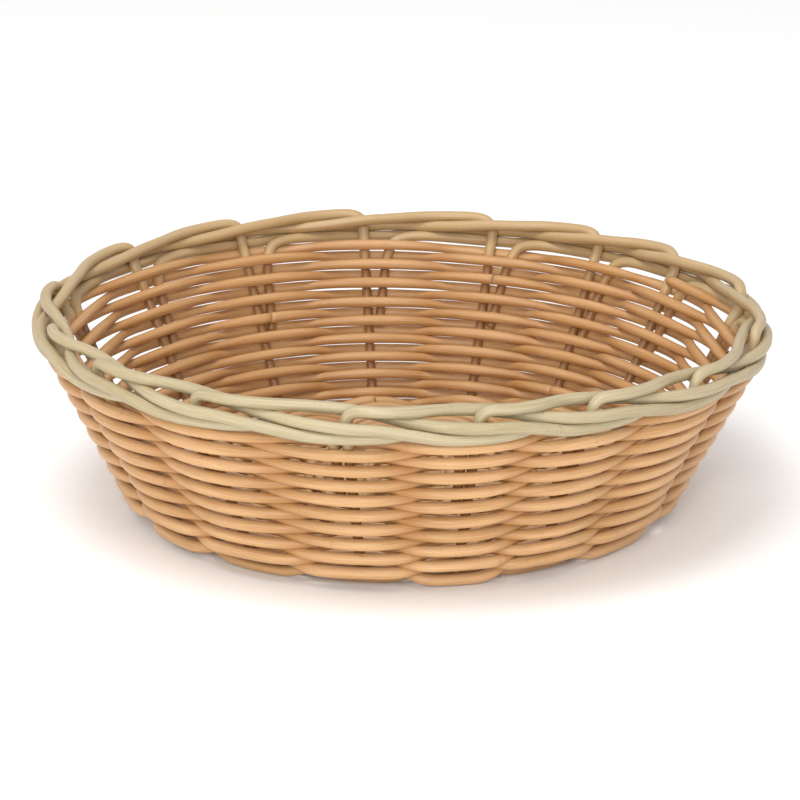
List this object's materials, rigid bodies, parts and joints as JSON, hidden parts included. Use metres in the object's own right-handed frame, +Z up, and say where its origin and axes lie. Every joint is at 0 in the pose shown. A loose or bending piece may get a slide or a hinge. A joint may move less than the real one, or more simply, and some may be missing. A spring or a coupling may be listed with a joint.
{
  "type": "bread basket",
  "caption": "Round shallow basket of woven rods with a leaning wall, a braided border and a flat woven floor, for bread or fruit.",
  "frame": {"origin": "middle of the underside, on the surface that the basket stands on", "axes": "+Z up along the basket's round axis, +X to the right seen from the front, +Y to the back"},
  "size_m": [0.2496, 0.2496, 0.0718],
  "materials": {
    "stake_wood": "peeled rod, pale straw, silky semi-matt",
    "weaver_wood": "smooth rod, warm honey tan, satin",
    "base_wood": "smooth rod, honey tan, semi-matt"
  },
  "bodies": {
    "root": {"base_stick_x1": "base_wood", "base_stick_x2": "base_wood", "base_stick_x3": "base_wood", "base_stick_x4": "base_wood", "base_stick_y1": "base_wood", "base_stick_y2": "base_wood", "base_stick_y3": "base_wood", "base_stick_y4": "base_wood", "base_tie_a": "base_wood", "base_tie_b": "base_wood", "base_weaver_a": "base_wood", "base_weaver_b": "base_wood", "wall_weaver_a1": "weaver_wood", "wall_weaver_a2": "weaver_wood", "wall_weaver_a3": "weaver_wood", "wall_weaver_a4": "weaver_wood", "wall_weaver_a5": "weaver_wood", "wall_weaver_b1": "weaver_wood", "wall_weaver_b2": "weaver_wood", "wall_weaver_b3": "weaver_wood", "wall_weaver_b4": "weaver_wood", "wall_weaver_b5": "weaver_wood", "stake_01": "stake_wood", "stake_02": "stake_wood", "stake_03": "stake_wood", "stake_04": "stake_wood", "stake_05": "stake_wood", "stake_06": "stake_wood", "stake_07": "stake_wood", "stake_08": "stake_wood", "stake_09": "stake_wood", "stake_10": "stake_wood", "stake_11": "stake_wood", "stake_12": "stake_wood", "stake_13": "stake_wood", "stake_14": "stake_wood", "stake_15": "stake_wood", "stake_16": "stake_wood"}
  },
  "joints": []
}
